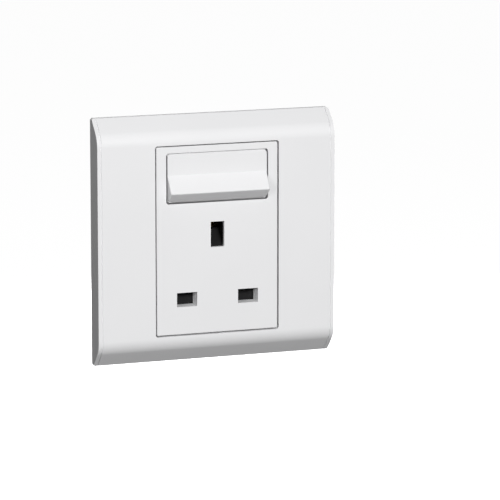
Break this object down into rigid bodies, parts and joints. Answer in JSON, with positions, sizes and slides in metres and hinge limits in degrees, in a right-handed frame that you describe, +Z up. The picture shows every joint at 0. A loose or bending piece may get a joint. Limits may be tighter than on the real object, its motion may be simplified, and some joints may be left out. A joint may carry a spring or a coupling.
{
  "type": "switched socket outlet",
  "caption": "Wall socket outlet on a square clip-on plate bevelled at top and bottom, with a lipped rocker switch above shuttered rectangular pin holes.",
  "frame": {"origin": "centre of the plate's back, on the wall's surface, midway between the fixing holes", "axes": "+Z up the wall, +X to the viewer's right, -Y out of the wall towards the user"},
  "size_m": [0.086, 0.035, 0.086],
  "materials": {
    "white_plastic": "clean white moulded plastic, satin gloss",
    "frame_plastic": "light grey moulded plastic",
    "base_plastic": "dark grey moulded plastic",
    "shutter_plastic": "black moulded plastic",
    "plunger_plastic": "natural nylon",
    "brass": "stamped and turned brass",
    "silver": "silver contact tips",
    "steel": "zinc-plated steel"
  },
  "bodies": {
    "socket": {"front_plate": "white_plastic", "support_frame": "frame_plastic", "socket_front": "white_plastic", "socket_base": "base_plastic", "module_screws": "steel", "shutter_spring": "steel", "earth_contact": "brass", "earth_terminal": "brass", "line_pin_contact": "brass", "line_terminal": "brass", "line_fixed_tip": "silver", "neutral_pin_contact": "brass", "neutral_terminal": "brass", "neutral_fixed_tip": "silver"},
    "rocker": {"rocker": "white_plastic", "line_plunger_spring": "steel", "neutral_plunger_spring": "steel"},
    "shutter": {"shutter": "shutter_plastic"},
    "earth_screw": {"earth_terminal_screw": "steel"},
    "line_plunger": {"line_plunger": "plunger_plastic"},
    "line_contact": {"line_rocking_contact": "brass", "line_moving_tip": "silver"},
    "line_screw": {"line_terminal_screw": "steel"},
    "neutral_plunger": {"neutral_plunger": "plunger_plastic"},
    "neutral_contact": {"neutral_rocking_contact": "brass", "neutral_moving_tip": "silver"},
    "neutral_screw": {"neutral_terminal_screw": "steel"}
  },
  "joints": [
    {"name": "rocker_tilt", "type": "hinge", "parent": "socket", "child": "rocker", "pos_m": [0, -0.0034, 0.02175], "axis": [1, 0, 0], "range_deg": [0, 14]},
    {"name": "line_plunger_press", "type": "slide", "parent": "rocker", "child": "line_plunger", "axis": [0, -0.9925, 0.1219], "range_m": [0, 0.0008], "stiffness_N_per_m": 800, "springref_m": -0.003, "deforming": ["line_plunger_spring"]},
    {"name": "line_contact_rock", "type": "hinge", "parent": "socket", "child": "line_contact", "pos_m": [0, 0.0103, 0.02175], "axis": [1, 0, 0], "range_deg": [-18, 0]},
    {"name": "neutral_plunger_press", "type": "slide", "parent": "rocker", "child": "neutral_plunger", "axis": [0, -0.9925, 0.1219], "range_m": [0, 0.0008], "stiffness_N_per_m": 800, "springref_m": -0.003, "deforming": ["neutral_plunger_spring"]},
    {"name": "neutral_contact_rock", "type": "hinge", "parent": "socket", "child": "neutral_contact", "pos_m": [0, 0.0103, 0.02175], "axis": [1, 0, 0], "range_deg": [-18, 0]},
    {"name": "shutter_slide", "type": "slide", "parent": "socket", "child": "shutter", "axis": [0, 0, -1], "range_m": [0, 0.0055], "stiffness_N_per_m": 250, "springref_m": -0.004, "deforming": ["shutter_spring"]},
    {"name": "line_screw_turn", "type": "hinge", "parent": "socket", "child": "line_screw", "pos_m": [0.0125, 0.0207, 0.0264], "axis": [0, 1, 0], "range_deg": [0, 990]},
    {"name": "neutral_screw_turn", "type": "hinge", "parent": "socket", "child": "neutral_screw", "pos_m": [-0.0125, 0.0207, 0.0264], "axis": [0, 1, 0], "range_deg": [0, 990]},
    {"name": "earth_screw_turn", "type": "hinge", "parent": "socket", "child": "earth_screw", "pos_m": [0, 0.0207, -0.0264], "axis": [0, 1, 0], "range_deg": [0, 990]}
  ],
  "couplings": [
    {"joint": "line_contact_rock", "follows": "rocker_tilt", "ratio": -1.2857},
    {"joint": "neutral_contact_rock", "follows": "rocker_tilt", "ratio": -1.2857}
  ]
}
